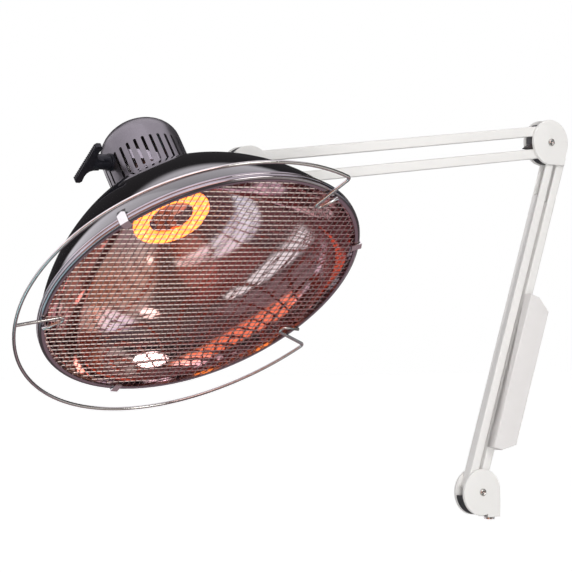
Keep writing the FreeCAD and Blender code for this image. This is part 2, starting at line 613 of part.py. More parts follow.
def leg_foot(angle, height):
    """Where a heater leg meets the ceramic plate."""
    across = HEATER_R * 0.86
    return (across * math.cos(math.radians(angle)), across * math.sin(math.radians(angle)), height)


legs = []
for angle in LEG_ANGLES:
    foot = leg_foot(angle, 123.5)
    legs.append(rod(5.0, (foot[0] / 0.86, foot[1] / 0.86, HEATER_S + 2.4), foot))
glass = fuse(flat_ring(HEATER_WIDE, HEATER_HIGH), *legs).cut(flat_ring(HEATER_WIDE - 1.3, HEATER_HIGH - 1.3))
head_piece("heater_tube", glass)
head_piece("heater_coil", Part.makeTorus(HEATER_R, WINDING_R, Vector(0, 0, HEATER_S)))

plate = rod(41.0, (0, 0, 122.6), (0, 0, 129.6))
for angle in LEG_ANGLES:
    plate = plate.cut(rod(5.6, leg_foot(angle, 120), leg_foot(angle, 126)))
head_piece("ceramic_plate", plate)
block_body = fuse(block(-14, 14, 6, 24, 129.6, 141), block(-11, 11, 9, 21, 141, 144))
head_piece("head_terminal_block", block_body)
posts = [rod(2.0, (34.4 * math.cos(a), 34.4 * math.sin(a), 129.6), (34.4 * math.cos(a), 34.4 * math.sin(a), 136))
         for a in (math.radians(150), math.radians(270), math.radians(20))]
head_piece("plate_nuts", [post for post in posts])

# back housing, drawn about its own axis
SHIFT = Placement(Vector(HOUSING_X, 0, 0), Rotation())


def crown_line(radius, height, steps=14):
    """Quarter ellipse from the wall to the top."""
    return [(radius * math.cos(math.pi / 2 * i / steps), HOUSING_S1 + height * math.sin(math.pi / 2 * i / steps))
            for i in range(steps)]


wall = 1.8
outline = [(41.6, HOUSING_S0), (HOUSING_R, HOUSING_S0)] + crown_line(HOUSING_R, CROWN)
outline += [(0, HOUSING_S1 + CROWN), (0, HOUSING_S1 + CROWN - wall)]
outline += list(reversed(crown_line(HOUSING_R - wall, CROWN - wall)))
outline += [(HOUSING_R - wall, HOUSING_S0 + 2), (41.6, HOUSING_S0 + 2)]
housing = spun(outline)
slots = []
half = SLOT_WIDTH / 2
low, high = SLOT_S[0] + half, SLOT_S[1] - half
for k in range(SLOTS):
    if k in (0, SLOTS // 2):
        continue
    slot = fuse(block(38, 50, -half, half, low, high), rod(half, (38, 0, low), (50, 0, low)),
                rod(half, (38, 0, high), (50, 0, high)))
    slot.rotate(Vector(0, 0, 0), Vector(0, 0, 1), SLOT_TURN + 360.0 * k / SLOTS)
    slots.append(slot)
housing = housing.cut(Part.makeCompound(slots))
housing = housing.cut(rod(8.6, (0, 0, ROLL_S), (60, 0, ROLL_S)))
housing = housing.cut(rod(3.0, (-60, 0, ROLL_S), (0, 0, ROLL_S)))
head_piece("housing_shell", placed(housing, SHIFT))

# heat shield: a level strip across the tilted housing, behind the front slots
level = block(-70, 70, -70, 70, -5.5, 5.5)
level.rotate(Vector(0, 0, 0), Vector(0, 1, 0), -33.0)
level.rotate(Vector(0, 0, 0), Vector(0, 0, 1), 150.0)
level.translate(Vector(0, 0, 151.6))
reach = [(70 * math.cos(math.radians(a)), 70 * math.sin(math.radians(a))) for a in (209.0, 235.0, 262.0)]
wedge = Part.Face(Part.makePolygon([Vector(0, 0, 0)] + [Vector(x, y, 0) for x, y in reach] + [Vector(0, 0, 0)]))
wedge = wedge.extrude(Vector(0, 0, 260))
shield = tube(42.4, 41.6, (0, 0, 134.4), (0, 0, 184.0)).common(level).common(wedge)
for angle, s in ((221.7, 160.1), (244.2, 149.6)):
    foot = rod(2.0, (42.0, 0, s), (HOUSING_R - wall - 0.05, 0, s))
    foot.rotate(Vector(0, 0, 0), Vector(0, 0, 1), angle)
    shield = shield.fuse(foot)
shield = shield.removeSplitter()
head_piece("heat_shield", placed(shield, SHIFT))

bush = fuse(tube(8.6, 7.0 + FIT, (31.0, 0, ROLL_S), (50.0, 0, ROLL_S)),
            tube(11.5, 7.0 + FIT, (47.6, 0, ROLL_S), (50.6, 0, ROLL_S)),
            tube(11.0, 8.0, (31.0, 0, ROLL_S), (34.0, 0, ROLL_S)))
bush = bush.cut(rod(7.0 + FIT, (20, 0, ROLL_S), (60, 0, ROLL_S)))
head_piece("roll_bush", placed(bush, SHIFT))

# T handle opposite the arm
wall_x = HOUSING_X - HOUSING_R
drum = rod(HOUSING_R, (HOUSING_X, 0, 130), (HOUSING_X, 0, 200))
stem = fuse(rod(3.0, (wall_x - 22, 0, ROLL_S), (wall_x + 5, 0, ROLL_S)),
            rod(6.0, (wall_x + 2.5, 0, ROLL_S), (wall_x + 6, 0, ROLL_S)))
head_piece("handle_stem", stem)
flange = tube(9.6, 3.0, (wall_x - 2.6, 0, ROLL_S), (wall_x + 2, 0, ROLL_S))
head_piece("handle_collar", flange.cut(drum))
half_grip = [(-62.0, 7.8), (-68.0, 8.4), (-71.6, 10.4), (-73.6, 13.6), (-74.4, 18.0), (-73.4, 26.6), (-75.4, 29.0),
             (-80.0, 29.0), (-81.8, 27.0)]
grip = half_grip + [(x, -y) for x, y in reversed(half_grip)]
grip = sheet([(x, -y) for x, y in grip], 0, GRIP_THICK)
grip.rotate(Vector(0, 0, 0), Vector(1, 0, 0), 90)
grip.translate(Vector(0, 0, GRIP_S))
sleeve = rod(8.4, (-66.0, 0, ROLL_S), (wall_x - 2.6, 0, ROLL_S))
tip = Part.makeCone(8.4, 4.5, 9.0, Vector(-66.0, 0, ROLL_S), Vector(-1, 0, 0))
grip = fuse(grip, sleeve, tip)
grip = grip.cut(rod(3.0, (wall_x - 22, 0, ROLL_S), (-40, 0, ROLL_S)))
head_piece("handle_grip", grip)
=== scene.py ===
"""Infrared heat therapy lamp on a double-bar balanced arm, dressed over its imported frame."""

import json
import math

import bmesh
import bpy
from bpy.props import FloatProperty, FloatVectorProperty, IntProperty, PointerProperty
from mathutils import Matrix, Vector


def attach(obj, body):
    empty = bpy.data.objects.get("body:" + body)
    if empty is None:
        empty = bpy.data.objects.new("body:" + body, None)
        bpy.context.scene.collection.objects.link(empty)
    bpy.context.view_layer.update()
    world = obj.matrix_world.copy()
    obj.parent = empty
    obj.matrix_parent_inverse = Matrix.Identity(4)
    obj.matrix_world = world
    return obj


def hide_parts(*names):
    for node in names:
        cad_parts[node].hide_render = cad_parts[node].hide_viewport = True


bl_info = {
    "name": "Infrared Heat Therapy Lamp",
    "version": (1, 0, 0),
    "blender": (4, 5, 0),
    "location": "3D View > Sidebar > Heat Lamp",
    "description": "Builds the visible pieces of an infrared heat therapy lamp over its packed frame",
    "category": "Add Mesh",
}

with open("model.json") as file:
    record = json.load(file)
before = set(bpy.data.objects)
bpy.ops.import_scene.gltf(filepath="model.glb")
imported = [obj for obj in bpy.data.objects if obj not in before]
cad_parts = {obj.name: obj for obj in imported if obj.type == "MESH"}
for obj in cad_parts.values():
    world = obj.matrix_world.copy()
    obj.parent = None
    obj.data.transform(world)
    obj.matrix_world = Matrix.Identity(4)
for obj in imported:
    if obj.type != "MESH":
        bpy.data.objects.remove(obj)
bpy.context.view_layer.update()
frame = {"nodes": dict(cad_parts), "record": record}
RECORD = frame["record"]
SLOT_OF = {part["node"]: part["material_slot"] for part in RECORD["subparts"]}
BODY_OF = {node: body for body, nodes in RECORD["behaviour"]["bodies"].items() for node in nodes}
MM = 0.001

# Place of the lamp head: the swivel pin, then out along the spindle, then tilted about it.
SWIVEL = Vector((-393.0, 0.0, 412.7)) * MM
HEAD_REACH = 89.2 * MM
HEAD_YAW = math.radians(4.14)
HEAD_TILT = math.radians(-37.19)
SPINDLE_HEIGHT = 171.3 * MM
HEAD = (
    Matrix.Translation(SWIVEL)
    @ Matrix.Rotation(HEAD_YAW, 4, "Z")
    @ Matrix.Translation((-HEAD_REACH, 0, 0))
    @ Matrix.Rotation(HEAD_TILT, 4, "X")
    @ Matrix.Translation((0, 0, -SPINDLE_HEIGHT))
)

# ------------------------------------------------------------------ node trees

NOISE_ROUGHNESS = 0.55
NOISE_SPREAD = (0.3, 0.7)  # noise seldom leaves these levels


def put(tree, socket, value):
    """Links a socket to another one, or gives it a plain value."""
    if isinstance(value, bpy.types.NodeSocket):
        tree.links.new(value, socket)
    else:
        socket.default_value = value


def feed(tree, node, values):
    """Links or sets a node's inputs by their names."""
    for name, value in values.items():
        put(tree, node.inputs[name], value)


def maths(tree, operation, first, second=0.0):
    made = tree.nodes.new("ShaderNodeMath")
    made.operation = operation
    put(tree, made.inputs[0], first)
    put(tree, made.inputs[1], second)
    return made.outputs[0]


def product(tree, first, second):
    return maths(tree, "MULTIPLY", first, second)


def length_of(tree, x, y):
    return maths(tree, "SQRT", maths(tree, "ADD", product(tree, x, x), product(tree, y, y)))


def reach_along(tree, vector, axis):
    """How far a vector reaches along an axis."""
    made = tree.nodes.new("ShaderNodeVectorMath")
    made.operation = "DOT_PRODUCT"
    tree.links.new(vector, made.inputs[0])
    made.inputs[1].default_value = axis
    return made.outputs["Value"]


def ranged(tree, value, low, high, out_low=0.0, out_high=1.0, interpolation="LINEAR"):
    made = tree.nodes.new("ShaderNodeMapRange")
    made.interpolation_type = interpolation
    feed(tree, made, {"Value": value, "From Min": low, "From Max": high})
    feed(tree, made, {"To Min": out_low, "To Max": out_high})
    return made.outputs["Result"]


def eased(tree, value, low, high, out_low=0.0, out_high=1.0):
    """As ranged, with a soft start and a soft end."""
    return ranged(tree, value, low, high, out_low, out_high, "SMOOTHSTEP")


def blended(tree, factor, first, second):
    made = tree.nodes.new("ShaderNodeMix")
    made.data_type = "RGBA"
    made.clamp_factor = True
    put(tree, made.inputs[0], factor)
    for socket, colour in ((made.inputs[6], first), (made.inputs[7], second)):
        put(tree, socket, colour if isinstance(colour, bpy.types.NodeSocket) else (*colour[:3], 1.0))
    return made.outputs[2]


def object_place(tree):
    return tree.nodes.new("ShaderNodeTexCoord").outputs["Object"]


def noise(tree, place, scale, detail=3.0):
    made = tree.nodes.new("ShaderNodeTexNoise")
    feed(tree, made, {"Vector": place, "Scale": scale, "Detail": detail, "Roughness": NOISE_ROUGHNESS})
    return made.outputs["Fac"]


def drifting(tree, place, scale, low, high, detail=3.0):
    """A value that drifts between two levels over a piece."""
    return ranged(tree, noise(tree, place, scale, detail), *NOISE_SPREAD, low, high)


def bumped(tree, height, strength, distance):
    made = tree.nodes.new("ShaderNodeBump")
    feed(tree, made, {"Height": height, "Strength": strength, "Distance": distance})
    return made.outputs["Normal"]


def blank_material(name):
    material = bpy.data.materials.new(name)
    material.use_nodes = True
    tree = material.node_tree
    tree.nodes.clear()
    output = tree.nodes.new("ShaderNodeOutputMaterial")
    shader = tree.nodes.new("ShaderNodeBsdfPrincipled")
    tree.links.new(shader.outputs[0], output.inputs[0])
    return material, tree, shader


# ------------------------------------------------------------------ finishes

# Directions across the mouth of the head: towards the painted shade on the reflector and guard, with the
# reflector's painted highlight on the far side, and across which the housing's lacquer gets painted shade.
MOUTH_SHADE_SIDE = (0.8, 0.15)
HOUSING_SHADE_SIDE = (0.86, -0.5)

# Heights in the head, in metres: where the heater's ring turns from face to side, and where its legs go dark.
RING_SIDE = (0.0955, 0.0995)
RING_LEG = (0.1005, 0.104)
PALE_GLOW = (1.0, 0.4, 0.16)
LEG_GLOW = (0.02, 0.004, 0.001)
GLASS_FACE = (0.5, 0.3, 0.08)
GLASS_SIDE = (0.4, 0.12, 0.02)
GLASS_LEG = (0.35, 0.27, 0.24)

# Painted shade on the guard: the browned colour of its wires towards one side of the mouth, and the darker
# colour of the run that crosses the first.
GUARD_SHADE_TONE = (0.36, 0.2, 0.21)
GUARD_SHADED_RUN = (0.42, 0.27, 0.25)

# Slot: colour, the colour that it drifts to, least and most roughness, and what else sets it apart.
COATED_FINISHES = {
    "joint_black": ((0.022, 0.022, 0.026), (0.035, 0.034, 0.036), (0.35, 0.5), {"mottle": 90}),
    "swivel_black": ((0.03, 0.03, 0.034), (0.045, 0.043, 0.045), (0.3, 0.42), {"mottle": 90}),
    "switch_black": ((0.015, 0.015, 0.016), (0.03, 0.03, 0.032), (0.24, 0.38), {"mottle": 140}),
    "handle_black": ((0.01, 0.01, 0.014), (0.018, 0.018, 0.024), (0.28, 0.4), {"mottle": 160, "ior": 1.33}),
    "bush_black": ((0.012, 0.012, 0.015), (0.018, 0.018, 0.022), (0.35, 0.5), {"mottle": 160, "ior": 1.33}),
    "bright_screw": ((0.62, 0.61, 0.58), (0.46, 0.45, 0.43), (0.16, 0.3), {"metal": 1.0, "mottle": 220}),
    "pin_steel": ((0.62, 0.61, 0.59), (0.5, 0.49, 0.48), (0.2, 0.34), {"metal": 1.0, "mottle": 240}),
    "stud_steel": ((0.66, 0.65, 0.63), (0.5, 0.49, 0.47), (0.18, 0.34), {"metal": 1.0, "mottle": 200}),
    "spring_steel": ((0.2, 0.2, 0.21), (0.12, 0.12, 0.12), (0.3, 0.5), {"metal": 1.0, "mottle": 260}),
    "spring_plug": ((0.55, 0.55, 0.57), (0.42, 0.42, 0.44), (0.3, 0.45), {"metal": 1.0, "mottle": 180}),
    "clip_steel": ((0.72, 0.71, 0.7), (0.55, 0.54, 0.53), (0.12, 0.22), {"metal": 1.0, "mottle": 200}),
    "nipple_brass": ((0.62, 0.42, 0.16), (0.5, 0.33, 0.12), (0.22, 0.36), {"metal": 1.0, "mottle": 240}),
    "shield_aluminium": ((0.5, 0.46, 0.52), (0.4, 0.37, 0.42), (0.3, 0.45), {"metal": 0.6, "mottle": 150}),
    "rim_chrome": (
        (0.42, 0.38, 0.41), (0.33, 0.3, 0.32), (0.05, 0.12), {"metal": 1.0, "mottle": 70, "relief": 6e-6},
    ),
    "wire_chrome": (
        (0.74, 0.71, 0.7), (0.55, 0.53, 0.52), (0.08, 0.18), {"metal": 1.0, "mottle": 120, "relief": 6e-6},
    ),
    "gland_plastic": ((0.66, 0.66, 0.64), (0.56, 0.56, 0.55), (0.4, 0.55), {}),
    "terminal_plastic": ((0.7, 0.67, 0.58), (0.6, 0.57, 0.5), (0.3, 0.45), {}),
    "circuit_board": ((0.03, 0.14, 0.06), (0.05, 0.2, 0.09), (0.35, 0.6), {"mottle": 300}),
    "plate_ceramic": ((0.68, 0.6, 0.5), (0.58, 0.5, 0.4), (0.6, 0.8), {"mottle": 120}),
}


def dimmed(colour, share):
    return [c * share for c in colour]


def coated(name, colour, shade, rough, metal=0.0, mottle=60.0, grain=1400.0, relief=2e-5, coat=0.0, ior=1.5):
    """A finish whose colour and roughness drift a little over the piece, with a fine grain."""
    rough_mottle = mottle * 2.3
    material, tree, shader = blank_material(name)
    place = object_place(tree)
    feed(tree, shader, {
        "Base Color": blended(tree, noise(tree, place, mottle), colour, shade),
        "Roughness": drifting(tree, place, rough_mottle, *rough, detail=4.0),
        "Normal": bumped(tree, noise(tree, place, grain, 2.0), 0.5, relief),
        "Metallic": metal,
        "Coat Weight": coat,
        "Coat Roughness": 0.05,
        "IOR": ior,
    })
    return material


def head_axes(tree, place):
    """Turns a point of the frame into the lamp head's own across, deep and height, in metres."""
    inverse = HEAD.inverted()
    return [maths(tree, "ADD", reach_along(tree, place, row[:3]), row[3]) for row in inverse[:3]]


def towards_side(tree, x, y, side):
    """Distance of a head point towards one side of the mouth."""
    return maths(tree, "ADD", product(tree, x, side[0]), product(tree, y, side[1]))


def reflector_finish(name, tones):
    """Polished spun metal with clouds of heat tint, a painted highlight towards one side and painted shade,
    browned like the tint, towards the other.
    """
    cloud_scale, patch_scale, mark_scale = 16.0, 9.0, 180.0
    # Reaches are metres across the mouth.
    warm_reach, least_warm = (-0.02, 0.13), 0.15
    highlight_reach, bowl_shade_reach = (-0.12, -0.01), (0.02, 0.12)
    worn_reach, worn_rough = (0.02, 0.17), (0.045, 0.025)
    material, tree, shader = blank_material(name)
    place = object_place(tree)
    x, y, s = head_axes(tree, place)
    clouds = eased(tree, noise(tree, place, cloud_scale, 2.0), 0.35, 0.65)
    tint = blended(tree, clouds, tones.reflector, tones.reflector_mauve)
    patches = eased(tree, noise(tree, place, patch_scale, 1.0), 0.36, 0.56)
    warm = product(tree, patches, eased(tree, y, *warm_reach, least_warm, 1.0))
    tint = blended(tree, warm, tint, tones.reflector_warm)
    # Painted highlight towards one side of the bowl, and painted shade, browned like the heat tint, towards
    # the other.
    side = towards_side(tree, x, y, MOUTH_SHADE_SIDE)
    tint = blended(tree, eased(tree, side, *highlight_reach, 1.0, 0.0), tint, tones.reflector_highlight)
    tint = blended(tree, eased(tree, side, *bowl_shade_reach), tint, tones.reflector_tinted_shade)
    head_place = tree.nodes.new("ShaderNodeCombineXYZ")
    feed(tree, head_place, {"X": x, "Y": y, "Z": s})
    marks = tree.nodes.new("ShaderNodeTexWave")
    marks.wave_type = "RINGS"
    marks.rings_direction = "Z"
    feed(tree, marks, {"Vector": head_place.outputs[0], "Scale": mark_scale, "Distortion": 0.4})
    feed(tree, shader, {
        "Base Color": tint,
        "Roughness": ranged(tree, length_of(tree, x, y), *worn_reach, *worn_rough),
        "Normal": bumped(tree, marks.outputs["Fac"], 0.08, 4e-5),
        "Metallic": 1.0,
    })
    return material


def glowing_finish(name, tones):
    """Quartz ring lit from inside: yellow where it faces the mouth, orange up its sides, dull on its legs."""
    ripple = 0.0012
    material, tree, shader = blank_material(name)
    place = object_place(tree)
    height = head_axes(tree, place)[2]
    rippled = maths(tree, "ADD", height, drifting(tree, place, 320.0, -ripple, ripple, detail=2.0))
    on_side = eased(tree, rippled, *RING_SIDE)
    on_leg = eased(tree, height, *RING_LEG)
    mottle = eased(tree, noise(tree, place, 150.0), 0.36, 0.64)
    flecks = eased(tree, noise(tree, place, 260.0, 2.0), 0.56, 0.7)
    dull = [e * 0.55 + b * 0.45 for e, b in zip(tones.glow_edge, tones.glow)]
    glow = blended(tree, flecks, blended(tree, mottle, dull, tones.glow), PALE_GLOW)
    glow = blended(tree, on_side, glow, tones.glow_edge)
    feed(tree, shader, {
        "Emission Color": blended(tree, on_leg, glow, LEG_GLOW),
        "Emission Strength": tones.glow_strength,
        "Base Color": blended(tree, on_leg, blended(tree, on_side, GLASS_FACE, GLASS_SIDE), GLASS_LEG),
        "Roughness": drifting(tree, place, 90.0, 0.08, 0.2),
    })
    return material


def guard_finish(name, colour):
    """Wires of one run are bright, with painted shade browning them towards one side. The wires that cross
    them are darker and fully metallic: painted shade.
    """
    guard_shade_reach = (-0.02, 0.075)  # metres across the mouth
    material, tree, shader = blank_material(name)
    place = object_place(tree)
    x, y, _ = head_axes(tree, place)
    run = tree.nodes.new("ShaderNodeAttribute")
    run.attribute_name = "crosswise"
    crosswise = run.outputs["Fac"]
    bright = blended(tree, noise(tree, place, 400.0), colour, dimmed(colour, 0.85))
    # Painted shade: the wires turn browner towards one side of the mouth.
    guard_shade_mask = eased(tree, towards_side(tree, x, y, MOUTH_SHADE_SIDE), *guard_shade_reach)
    bright = blended(tree, guard_shade_mask, bright, GUARD_SHADE_TONE)
    feed(tree, shader, {
        # Painted shade: the crossing run takes a darker colour and is fully metallic, while the first run is
        # only a quarter metallic.
        "Base Color": blended(tree, crosswise, bright, GUARD_SHADED_RUN),
        "Roughness": drifting(tree, place, 900.0, 0.2, 0.3),
        "Metallic": ranged(tree, crosswise, 0.0, 1.0, 0.25, 1.0),
    })
    return material


def lacquer_finish(name, colour):
    """Metallic lacquer with a fine flake under its clear coat, with painted shade on one side."""
    flake_scale = 2600.0
    housing_shade_reach = (-0.044, 0.002)  # metres across the housing
    material, tree, shader = blank_material(name)
    place = object_place(tree)
    x, y, _ = head_axes(tree, place)
    flake = tree.nodes.new("ShaderNodeTexVoronoi")
    feed(tree, flake, {"Vector": place, "Scale": flake_scale})
    # Painted shade: the colour falls to 0.48 of itself towards one side of the housing.
    housing_shade_mask = ranged(tree, towards_side(tree, x, y, HOUSING_SHADE_SIDE), *housing_shade_reach, 1.0, 0.0)
    drift = blended(tree, noise(tree, place, 45.0), colour, dimmed(colour, 0.88))
    feed(tree, shader, {
        "Base Color": blended(tree, housing_shade_mask, drift, dimmed(colour, 0.48)),
        "Roughness": drifting(tree, place, 160.0, 0.30, 0.38),
        "Normal": bumped(tree, flake.outputs["Distance"], 0.06, 4e-5),
        "Metallic": 0.85,
        "Coat Weight": 0.25,
        "Coat Roughness": 0.12,
    })
    return material


def make_finishes(tones):
    """One material for each slot of the record."""
    paint = {"grain": 900.0, "relief": 5e-6}
    enamel = {"mottle": 30, "grain": 600.0, "relief": 4e-6, "coat": 1.0, "ior": 1.9}
    table = {
        "arm_paint": (tones.arm, dimmed(tones.arm, 0.965), (0.36, 0.46), paint),
        "box_shell": (tones.box, dimmed(tones.box, 0.96), (0.38, 0.48), paint),
        "dome_black": (tones.dome, dimmed(tones.dome, 1.6), (0.05, 0.09), enamel),
        **COATED_FINISHES,
    }
    finishes = {slot: coated(slot, *colours, **more) for slot, (*colours, more) in table.items()}
    finishes["reflector_metal"] = reflector_finish("reflector_metal", tones)
    finishes["guard_steel"] = guard_finish("guard_steel", tones.guard)
    finishes["housing_silver"] = lacquer_finish("housing_silver", tones.housing)
    finishes["heater_glass"] = glowing_finish("heater_glass", tones)
    finishes["heater_glow"] = glowing_finish("heater_glow", tones)
    return finishes


FINISHES = {}


# ------------------------------------------------------------------ mesh helpers

BOWL_STEPS = 44
SLOPE_STEP = 0.2  # millimetres up and down a bowl over which its slope is taken
RING_MERGE, NODE_MERGE = 1e-6, 2e-6


def spun_ring(points, steps):
    """Turns a closed outline of (radius, height) in millimetres about the head's axis."""
    bm = bmesh.new()
    verts = [bm.verts.new((radius * MM, 0, height * MM)) for radius, height in points]
    edges = [bm.edges.new(pair) for pair in zip(verts, verts[1:] + verts[:1])]
    bmesh.ops.spin(
        bm, geom=verts + edges, cent=(0, 0, 0), axis=(0, 0, 1), dvec=(0, 0, 0),
        angle=2 * math.pi, steps=steps, use_merge=True,
    )
    bmesh.ops.remove_doubles(bm, verts=bm.verts, dist=RING_MERGE)
    bmesh.ops.recalc_face_normals(bm, faces=bm.faces)
    return bm


def node_copy(node):
    """A merged copy of a frame node's mesh."""
    bm = bmesh.new()
    bm.from_mesh(frame["nodes"][node].data)
    bmesh.ops.remove_doubles(bm, verts=bm.verts, dist=NODE_MERGE)
    return bm


def show(bm, name, nodes, slot, sharp, place=None):
    """Makes the mesh a piece that rides with the nodes it stands for, smooth but for edges past an angle."""
    if place is not None:
        bmesh.ops.transform(bm, matrix=place, verts=bm.verts)
    for face in bm.faces:
        face.smooth = True
    mesh = bpy.data.meshes.new(name)
    bm.to_mesh(mesh)
    bm.free()
    mesh.set_sharp_from_angle(angle=math.radians(sharp))
    mesh.materials.append(FINISHES[slot])
    piece = bpy.data.objects.new(name, mesh)
    bpy.context.scene.collection.objects.link(piece)
    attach(piece, BODY_OF[nodes[0]])
    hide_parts(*nodes)


def bowl_radius(sizes, rim, depth, height):
    """Radius of a bowl's curve at a height above its mouth."""
    share = min(max(height / depth, 0.0), 1.0)
    return rim * (1.0 - share ** sizes.bowl_flat) ** (1.0 / sizes.bowl_round)


def bowl_outline(sizes, rim, depth, span, wall):
    """Outside of a bowl from its mouth up, and its inside at the same steps."""
    low, high = span
    outer, inner = [], []
    for step in range(BOWL_STEPS + 1):
        height = low + (high - low) * step / BOWL_STEPS
        radius = bowl_radius(sizes, rim, depth, height)
        above = bowl_radius(sizes, rim, depth, height + SLOPE_STEP)
        below = bowl_radius(sizes, rim, depth, height - SLOPE_STEP)
        slope = (above - below) / (2 * SLOPE_STEP)
        norm = math.hypot(1.0, slope)
        outer.append((radius, height))
        inner.append((radius - wall / norm, height + wall * slope / norm))
    return outer, inner


# ------------------------------------------------------------------ sizes and colours


def tone(name, description, default):
    return FloatVectorProperty(name=name, description=description, subtype="COLOR", default=default)


class HeatLampSizes(bpy.types.PropertyGroup):
    """Sizes of the pieces that are shaped here, as the frame's own drawing gives them."""

    rim_radius: FloatProperty(
        name="Rim radius", description="Outside radius of the rim", unit="LENGTH", default=0.178, min=0.05,
    )
    dome_depth: FloatProperty(
        name="Dome depth", description="Height of the dome's curve", unit="LENGTH", default=0.1463,
    )
    reflector_depth: FloatProperty(
        name="Reflector depth", description="Height of the inner bowl's curve", unit="LENGTH", default=0.134,
    )
    bowl_flat: FloatProperty(
        name="Bowl flatness", description="First exponent of the bowls' curve", default=1.38,
    )
    bowl_round: FloatProperty(
        name="Bowl roundness", description="Second exponent of the bowls' curve", default=1.61,
    )
    guard_pitch: FloatProperty(
        name="Guard pitch", description="Spacing of the wires", unit="LENGTH", default=0.0072, min=0.001,
    )
    guard_thickness: FloatProperty(
        name="Guard wire", description="Thickness of the guard's wires", unit="LENGTH", default=0.00095,
    )
    guard_turn: FloatProperty(
        name="Guard turn", description="Direction of the guard's wires", subtype="ANGLE",
        default=math.radians(-3.0),
    )
    ribs: IntProperty(name="Handle ribs", description="Ribs across the T bar's outer face", default=19, min=2)
    turn_steps: IntProperty(name="Turning steps", description="Faces round the bowls", default=160, min=24)


class HeatLampColours(bpy.types.PropertyGroup):
    """Colours of the finishes."""

    arm: tone("Arm paint", "Powder coat of the arm", (0.81, 0.795, 0.775))
    box: tone("Box paint", "Powder coat of the control box", (0.76, 0.735, 0.725))
    dome: tone("Dome", "Gloss enamel", (0.006, 0.005, 0.006))
    housing: tone("Housing", "Metallic lacquer", (0.23, 0.215, 0.237))
    reflector: tone("Reflector", "Polished metal", (0.74, 0.52, 0.52))
    reflector_mauve: tone("Reflector mauve", "First heat tint", (0.62, 0.42, 0.48))
    reflector_warm: tone("Reflector warm", "Second heat tint", (0.68, 0.28, 0.19))
    # The pale and deep reflector tones are a painted highlight on one side of the bowl and painted shade,
    # browned like the heat tint, on the other.
    reflector_highlight: tone("Reflector pale", "Cooler side of the bowl", (0.92, 0.78, 0.74))
    reflector_tinted_shade: tone("Reflector deep", "Most browned side of the bowl", (0.58, 0.31, 0.32))
    # The guard's tone is the lit run. The run that crosses it gets painted shade in guard_finish.
    guard: tone("Guard", "Bright run of the guard's wires", (1.0, 0.82, 0.76))
    glow: tone("Glow", "Heater towards the mouth", (1.0, 0.26, 0.033))
    glow_edge: tone("Glow edge", "Heater's sides", (1.0, 0.1, 0.012))
    glow_strength: FloatProperty(name="Glow strength", description="Emission of the heater", default=2.8)


# ------------------------------------------------------------------ pieces that keep the frame's shape


class HEATLAMP_OT_finishes(bpy.types.Operator):
    """Make the finishes and give every frame node its own"""

    bl_idname = "heatlamp.finishes"
    bl_label = "Finishes"

    def execute(self, context):
        FINISHES.update(make_finishes(context.scene.heat_lamp_colours))
        for node, piece in frame["nodes"].items():
            piece.data.materials.clear()
            piece.data.materials.append(FINISHES[SLOT_OF[node]])
        return {"FINISHED"}


class Dressing:
    """Shows a group of like frame nodes with smooth curved faces."""

    nodes = ()
    sharp = 32.0  # degrees past which an edge stays sharp

    def execute(self, context):
        for node in self.nodes:
            show(node_copy(node), node + "_dressed", [node], SLOT_OF[node], self.sharp)
        return {"FINISHED"}


class HEATLAMP_OT_arm_bars(Dressing, bpy.types.Operator):
    """Four square tubes of the double-bar arm"""

    bl_idname = "heatlamp.arm_bars"
    bl_label = "Arm bars"
    nodes = ("lower_rear_bar", "lower_front_bar", "upper_bottom_bar", "upper_top_bar")


class HEATLAMP_OT_joint_covers(Dressing, bpy.types.Operator):
    """Painted cover plates of the three joints"""

    bl_idname = "heatlamp.joint_covers"
    bl_label = "Joint covers"
    nodes = (
        "base_front_cover", "base_rear_cover", "elbow_front_cover", "elbow_rear_cover",
        "head_joint_front_cover", "head_joint_rear_cover",
    )


class HEATLAMP_OT_joint_cores(Dressing, bpy.types.Operator):
    """Dark blocks between the covers and the fork that carries the head"""

    bl_idname = "heatlamp.joint_cores"
    bl_label = "Joint cores"
    nodes = ("base_core", "elbow_core", "head_joint_core", "head_swivel_fork")


class HEATLAMP_OT_fasteners(Dressing, bpy.types.Operator):
    """Screws, nuts, pins and the mounting stud"""

    bl_idname = "heatlamp.fasteners"
    bl_label = "Fasteners"
    nodes = (
        "base_joint_screw", "elbow_joint_screw", "head_joint_screw",
        "base_joint_nut", "elbow_joint_nut", "head_joint_nut",
        "base_link_pin", "elbow_link_pins", "head_link_pins", "head_swivel_pin",
        "mounting_stud", "control_box_lid_screws", "stud_keeper_screw",
    )


class HEATLAMP_OT_control_box(Dressing, bpy.types.Operator):
    """Box on the lower arm with its lid, gland and rocker switch"""

    bl_idname = "heatlamp.control_box"
    bl_label = "Control box"
    nodes = ("control_box_shell", "control_box_lid", "cable_gland", "switch_frame", "switch_rocker")


class HEATLAMP_OT_head_fittings(Dressing, bpy.types.Operator):
    """Spindle bush, washer, nipple, rim clips, handle collar and heat shield on the head"""

    bl_idname = "heatlamp.head_fittings"
    bl_label = "Head fittings"
    nodes = (
        "roll_bush", "spindle_end_washer", "spindle_wire_nipple", "rim_clips", "handle_collar", "heat_shield",
    )


class HEATLAMP_OT_housing(Dressing, bpy.types.Operator):
    """Slotted housing over the dome"""

    bl_idname = "heatlamp.housing"
    bl_label = "Back housing"
    nodes = ("housing_shell",)
    sharp = 28.0


class HEATLAMP_OT_bumper(Dressing, bpy.types.Operator):
    """Sprung wire round the rim with its three hairpin legs"""

    bl_idname = "heatlamp.bumper"
    bl_label = "Bumper wire"
    nodes = ("bumper_wire",)
    sharp = 60.0


class HEATLAMP_OT_heater(Dressing, bpy.types.Operator):
    """Ring-shaped quartz tube and the ceramic plate that holds it"""

    bl_idname = "heatlamp.heater"
    bl_label = "Heater"
    nodes = ("heater_tube", "ceramic_plate")
    sharp = 40.0


